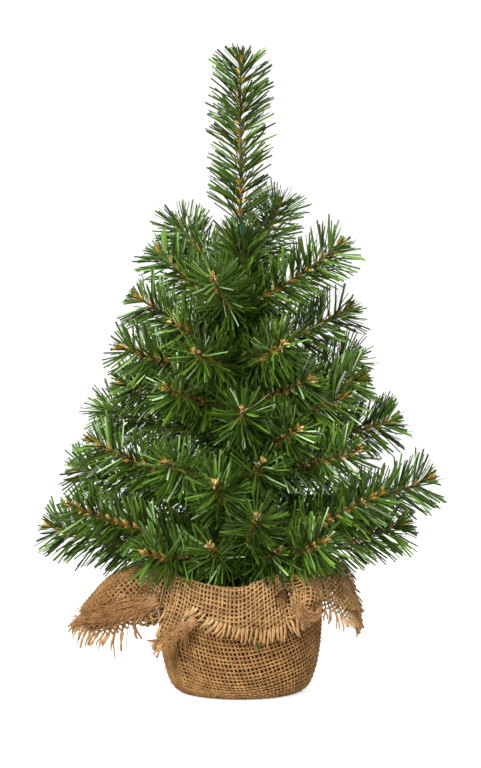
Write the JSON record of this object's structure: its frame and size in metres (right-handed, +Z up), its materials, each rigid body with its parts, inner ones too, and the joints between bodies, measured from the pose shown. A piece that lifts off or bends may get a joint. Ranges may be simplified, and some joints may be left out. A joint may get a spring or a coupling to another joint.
{
  "type": "artificial tabletop tree",
  "caption": "Small artificial pine tree: hand-bent wire branches on a taped trunk, set in a weighted bowl wrapped in burlap with a turned-down frayed cuff.",
  "frame": {"origin": "centre of the sack's flat underside, on the trunk's axis", "axes": "+Z up along the trunk, -Y to the front of the picture, +X to its right"},
  "size_m": [0.2669, 0.1839, 0.4453],
  "materials": {
    "bowl_plastic": "dull black moulded plastic",
    "cement": "rough cast cement",
    "socket_plastic": "dull dark green plastic",
    "rod_steel": "drawn steel wire",
    "trunk_tape": "brown crepe tape wound in a spiral",
    "ferrule_teal": "glossy teal plastic",
    "burlap": "open plain-weave jute, frayed at the hem",
    "twine": "jute twine",
    "branch_wire": "twisted steel wire, brown-green"
  },
  "bodies": {
    "base": {"plastic_bowl": "bowl_plastic", "cement_weight": "cement", "trunk_socket": "socket_plastic", "trunk_rod": "rod_steel", "trunk_tape_1": "trunk_tape", "trunk_tape_2": "trunk_tape", "trunk_tape_3": "trunk_tape", "leader_ferrule": "ferrule_teal", "burlap_sack": "burlap", "tie_twine": "twine"},
    "low_01": {"branch_low_01": "branch_wire"},
    "low_02": {"branch_low_02": "branch_wire"},
    "low_03": {"branch_low_03": "branch_wire"},
    "low_04": {"branch_low_04": "branch_wire"},
    "low_05": {"branch_low_05": "branch_wire"},
    "low_06": {"branch_low_06": "branch_wire"},
    "low_07": {"branch_low_07": "branch_wire"},
    "low_08": {"branch_low_08": "branch_wire"},
    "low_09": {"branch_low_09": "branch_wire"},
    "low_10": {"branch_low_10": "branch_wire"},
    "low_11": {"branch_low_11": "branch_wire"},
    "low_12": {"branch_low_12": "branch_wire"},
    "low_13": {"branch_low_13": "branch_wire"},
    "low_14": {"branch_low_14": "branch_wire"},
    "second_01": {"branch_second_01": "branch_wire"},
    "second_02": {"branch_second_02": "branch_wire"},
    "second_03": {"branch_second_03": "branch_wire"},
    "second_04": {"branch_second_04": "branch_wire"},
    "second_05": {"branch_second_05": "branch_wire"},
    "second_06": {"branch_second_06": "branch_wire"},
    "second_07": {"branch_second_07": "branch_wire"},
    "second_08": {"branch_second_08": "branch_wire"},
    "second_09": {"branch_second_09": "branch_wire"},
    "third_01": {"branch_third_01": "branch_wire"},
    "third_02": {"branch_third_02": "branch_wire"},
    "third_03": {"branch_third_03": "branch_wire"},
    "third_04": {"branch_third_04": "branch_wire"},
    "third_05": {"branch_third_05": "branch_wire"},
    "third_06": {"branch_third_06": "branch_wire"},
    "third_07": {"branch_third_07": "branch_wire"},
    "fourth_01": {"branch_fourth_01": "branch_wire"},
    "fourth_02": {"branch_fourth_02": "branch_wire"},
    "fourth_03": {"branch_fourth_03": "branch_wire"},
    "fourth_04": {"branch_fourth_04": "branch_wire"},
    "fourth_05": {"branch_fourth_05": "branch_wire"},
    "fourth_06": {"branch_fourth_06": "branch_wire"},
    "fourth_07": {"branch_fourth_07": "branch_wire"},
    "fifth_01": {"branch_fifth_01": "branch_wire"},
    "fifth_02": {"branch_fifth_02": "branch_wire"},
    "fifth_03": {"branch_fifth_03": "branch_wire"},
    "fifth_04": {"branch_fifth_04": "branch_wire"},
    "fifth_05": {"branch_fifth_05": "branch_wire"},
    "fifth_06": {"branch_fifth_06": "branch_wire"},
    "fifth_07": {"branch_fifth_07": "branch_wire"},
    "top_01": {"branch_top_01": "branch_wire"},
    "top_02": {"branch_top_02": "branch_wire"},
    "top_03": {"branch_top_03": "branch_wire"},
    "top_04": {"branch_top_04": "branch_wire"},
    "top_05": {"branch_top_05": "branch_wire"},
    "leader": {"leader": "branch_wire"}
  },
  "joints": [
    {"name": "bend_low_01", "type": "hinge", "parent": "base", "child": "low_01", "pos_m": [-0.00811, -0.00028, 0.09508], "axis": [-0.0349, 0.9994, 0], "range_deg": [-8, 55]},
    {"name": "bend_low_02", "type": "hinge", "parent": "base", "child": "low_02", "pos_m": [-0.00757, -0.00275, 0.10146], "axis": [-0.342, 0.9397, 0], "range_deg": [-8, 49]},
    {"name": "bend_low_03", "type": "hinge", "parent": "base", "child": "low_03", "pos_m": [-0.00603, -0.00543, 0.09508], "axis": [-0.6691, 0.7431, 0], "range_deg": [-8, 59]},
    {"name": "bend_low_04", "type": "hinge", "parent": "base", "child": "low_04", "pos_m": [-0.0028, -0.00768, 0.08869], "axis": [-0.9397, 0.342, 0], "range_deg": [-8, 45]},
    {"name": "bend_low_05", "type": "hinge", "parent": "base", "child": "low_05", "pos_m": [0.00113, -0.00801, 0.09763], "axis": [-0.9903, -0.1392, 0], "range_deg": [-8, 41]},
    {"name": "bend_low_06", "type": "hinge", "parent": "base", "child": "low_06", "pos_m": [0.00346, -0.00742, 0.08742], "axis": [-0.9063, -0.4226, 0], "range_deg": [-8, 47]},
    {"name": "bend_low_07", "type": "hinge", "parent": "base", "child": "low_07", "pos_m": [0.00545, -0.00605, 0.09252], "axis": [-0.7431, -0.6691, 0], "range_deg": [-8, 51]},
    {"name": "bend_low_08", "type": "hinge", "parent": "base", "child": "low_08", "pos_m": [0.00714, -0.00364, 0.10529], "axis": [-0.454, -0.891, 0], "range_deg": [-8, 44]},
    {"name": "bend_low_09", "type": "hinge", "parent": "base", "child": "low_09", "pos_m": [0.00799, -0.00141, 0.09508], "axis": [-0.1736, -0.9848, 0], "range_deg": [-8, 52]},
    {"name": "bend_low_10", "type": "hinge", "parent": "base", "child": "low_10", "pos_m": [0.0079, 0.00041, 0.11551], "axis": [0.0523, -0.9986, 0], "range_deg": [-8, 50]},
    {"name": "bend_low_11", "type": "hinge", "parent": "base", "child": "low_11", "pos_m": [0.00636, 0.00496, 0.10019], "axis": [0.6157, -0.788, 0], "range_deg": [-8, 53]},
    {"name": "bend_low_12", "type": "hinge", "parent": "base", "child": "low_12", "pos_m": [0.00196, 0.00787, 0.09508], "axis": [0.9703, -0.2419, 0], "range_deg": [-8, 53]},
    {"name": "bend_low_13", "type": "hinge", "parent": "base", "child": "low_13", "pos_m": [-0.00302, 0.00748, 0.10019], "axis": [0.9272, 0.3746, 0], "range_deg": [-8, 51]},
    {"name": "bend_low_14", "type": "hinge", "parent": "base", "child": "low_14", "pos_m": [-0.00672, 0.00453, 0.09636], "axis": [0.5592, 0.829, 0], "range_deg": [-8, 53]},
    {"name": "bend_second_01", "type": "hinge", "parent": "base", "child": "second_01", "pos_m": [-0.00752, -0.0016, 0.1385], "axis": [-0.2079, 0.9781, 0], "range_deg": [-15, 43]},
    {"name": "bend_second_02", "type": "hinge", "parent": "base", "child": "second_02", "pos_m": [-0.00426, -0.00632, 0.14488], "axis": [-0.829, 0.5592, 0], "range_deg": [-15, 51]},
    {"name": "bend_second_03", "type": "hinge", "parent": "base", "child": "second_03", "pos_m": [-0.00163, -0.00766, 0.12445], "axis": [-0.9781, 0.2079, 0], "range_deg": [-15, 45]},
    {"name": "bend_second_04", "type": "hinge", "parent": "base", "child": "second_04", "pos_m": [0.00211, -0.00736, 0.14233], "axis": [-0.9613, -0.2756, 0], "range_deg": [-15, 39]},
    {"name": "bend_second_05", "type": "hinge", "parent": "base", "child": "second_05", "pos_m": [0.00617, -0.00432, 0.1551], "axis": [-0.5736, -0.8192, 0], "range_deg": [-15, 54]},
    {"name": "bend_second_06", "type": "hinge", "parent": "base", "child": "second_06", "pos_m": [0.00429, 0.00636, 0.13977], "axis": [0.829, -0.5592, 0], "range_deg": [-15, 49]},
    {"name": "bend_second_07", "type": "hinge", "parent": "base", "child": "second_07", "pos_m": [-0.00054, 0.00766, 0.13977], "axis": [0.9976, 0.0698, 0], "range_deg": [-15, 49]},
    {"name": "bend_second_08", "type": "hinge", "parent": "base", "child": "second_08", "pos_m": [-0.00484, 0.00598, 0.1385], "axis": [0.7771, 0.6293, 0], "range_deg": [-15, 49]},
    {"name": "bend_second_09", "type": "hinge", "parent": "base", "child": "second_09", "pos_m": [-0.0074, 0.00185, 0.14488], "axis": [0.2419, 0.9703, 0], "range_deg": [-15, 60]},
    {"name": "bend_third_01", "type": "hinge", "parent": "base", "child": "third_01", "pos_m": [0.00727, 0.00115, 0.1717], "axis": [0.1564, -0.9877, 0], "range_deg": [-15, 55]},
    {"name": "bend_third_02", "type": "hinge", "parent": "base", "child": "third_02", "pos_m": [0.00425, -0.00606, 0.16787], "axis": [-0.8192, -0.5736, 0], "range_deg": [-15, 47]},
    {"name": "bend_third_03", "type": "hinge", "parent": "base", "child": "third_03", "pos_m": [-0.00658, 0.00307, 0.18191], "axis": [0.4226, 0.9063, 0], "range_deg": [-15, 56]},
    {"name": "bend_third_04", "type": "hinge", "parent": "base", "child": "third_04", "pos_m": [0.00675, -0.00259, 0.18575], "axis": [-0.3584, -0.9336, 0], "range_deg": [-15, 47]},
    {"name": "bend_third_05", "type": "hinge", "parent": "base", "child": "third_05", "pos_m": [0.00013, -0.00723, 0.18575], "axis": [-0.9998, -0.0175, 0], "range_deg": [-15, 52]},
    {"name": "bend_third_06", "type": "hinge", "parent": "base", "child": "third_06", "pos_m": [0.00188, 0.00703, 0.18064], "axis": [0.9659, -0.2588, 0], "range_deg": [-15, 49]},
    {"name": "bend_third_07", "type": "hinge", "parent": "base", "child": "third_07", "pos_m": [-0.00365, 0.00632, 0.17808], "axis": [0.866, 0.5, 0], "range_deg": [-15, 49]},
    {"name": "bend_fourth_01", "type": "hinge", "parent": "base", "child": "fourth_01", "pos_m": [-0.00465, -0.00535, 0.19979], "axis": [-0.7547, 0.6561, 0], "range_deg": [-15, 53]},
    {"name": "bend_fourth_02", "type": "hinge", "parent": "base", "child": "fourth_02", "pos_m": [0.00523, -0.00471, 0.2049], "axis": [-0.6691, -0.7431, 0], "range_deg": [-15, 50]},
    {"name": "bend_fourth_03", "type": "hinge", "parent": "base", "child": "fourth_03", "pos_m": [0.00705, -0.00049, 0.20235], "axis": [-0.0698, -0.9976, 0], "range_deg": [-15, 52]},
    {"name": "bend_fourth_04", "type": "hinge", "parent": "base", "child": "fourth_04", "pos_m": [-0.00695, 0.00098, 0.20746], "axis": [0.1392, 0.9903, 0], "range_deg": [-15, 58]},
    {"name": "bend_fourth_05", "type": "hinge", "parent": "base", "child": "fourth_05", "pos_m": [0.00613, 0.00326, 0.21512], "axis": [0.4695, -0.8829, 0], "range_deg": [-15, 53]},
    {"name": "bend_fourth_06", "type": "hinge", "parent": "base", "child": "fourth_06", "pos_m": [-0.00145, 0.00681, 0.21256], "axis": [0.9781, 0.2079, 0], "range_deg": [-15, 45]},
    {"name": "bend_fourth_07", "type": "hinge", "parent": "base", "child": "fourth_07", "pos_m": [-0.00498, 0.00481, 0.21639], "axis": [0.6947, 0.7193, 0], "range_deg": [-15, 47]},
    {"name": "bend_fifth_01", "type": "hinge", "parent": "base", "child": "fifth_01", "pos_m": [-0.00626, -0.00279, 0.22406], "axis": [-0.4067, 0.9135, 0], "range_deg": [-15, 53]},
    {"name": "bend_fifth_02", "type": "hinge", "parent": "base", "child": "fifth_02", "pos_m": [-0.00278, -0.00624, 0.22661], "axis": [-0.9135, 0.4067, 0], "range_deg": [-15, 55]},
    {"name": "bend_fifth_03", "type": "hinge", "parent": "base", "child": "fifth_03", "pos_m": [0.00276, -0.00619, 0.23172], "axis": [-0.9135, -0.4067, 0], "range_deg": [-15, 54]},
    {"name": "bend_fifth_04", "type": "hinge", "parent": "base", "child": "fifth_04", "pos_m": [0.00644, 0.00185, 0.23938], "axis": [0.2756, -0.9613, 0], "range_deg": [-15, 43]},
    {"name": "bend_fifth_05", "type": "hinge", "parent": "base", "child": "fifth_05", "pos_m": [-0.00661, -0.00093, 0.24193], "axis": [-0.1392, 0.9903, 0], "range_deg": [-15, 37]},
    {"name": "bend_fifth_06", "type": "hinge", "parent": "base", "child": "fifth_06", "pos_m": [-0.00528, -0.00413, 0.23938], "axis": [-0.6157, 0.788, 0], "range_deg": [-15, 45]},
    {"name": "bend_fifth_07", "type": "hinge", "parent": "base", "child": "fifth_07", "pos_m": [0.00138, 0.00651, 0.24449], "axis": [0.9781, -0.2079, 0], "range_deg": [-15, 37]},
    {"name": "bend_top_01", "type": "hinge", "parent": "base", "child": "top_01", "pos_m": [0.00583, -0.00259, 0.27258], "axis": [-0.4067, -0.9135, 0], "range_deg": [-15, 35]},
    {"name": "bend_top_02", "type": "hinge", "parent": "base", "child": "top_02", "pos_m": [-0.00168, -0.00626, 0.26237], "axis": [-0.9659, 0.2588, 0], "range_deg": [-15, 43]},
    {"name": "bend_top_03", "type": "hinge", "parent": "base", "child": "top_03", "pos_m": [-0.00611, 0.00199, 0.26747], "axis": [0.309, 0.9511, 0], "range_deg": [-15, 27]},
    {"name": "bend_top_04", "type": "hinge", "parent": "base", "child": "top_04", "pos_m": [-0.00377, 0.005, 0.28408], "axis": [0.7986, 0.6018, 0], "range_deg": [-15, 30]},
    {"name": "bend_top_05", "type": "hinge", "parent": "base", "child": "top_05", "pos_m": [0.00292, 0.0055, 0.28791], "axis": [0.8829, -0.4695, 0], "range_deg": [-15, 18]},
    {"name": "bend_leader", "type": "hinge", "parent": "base", "child": "leader", "pos_m": [0, 0, 0.32825], "axis": [0, 1, 0], "range_deg": [-20, 20]}
  ]
}
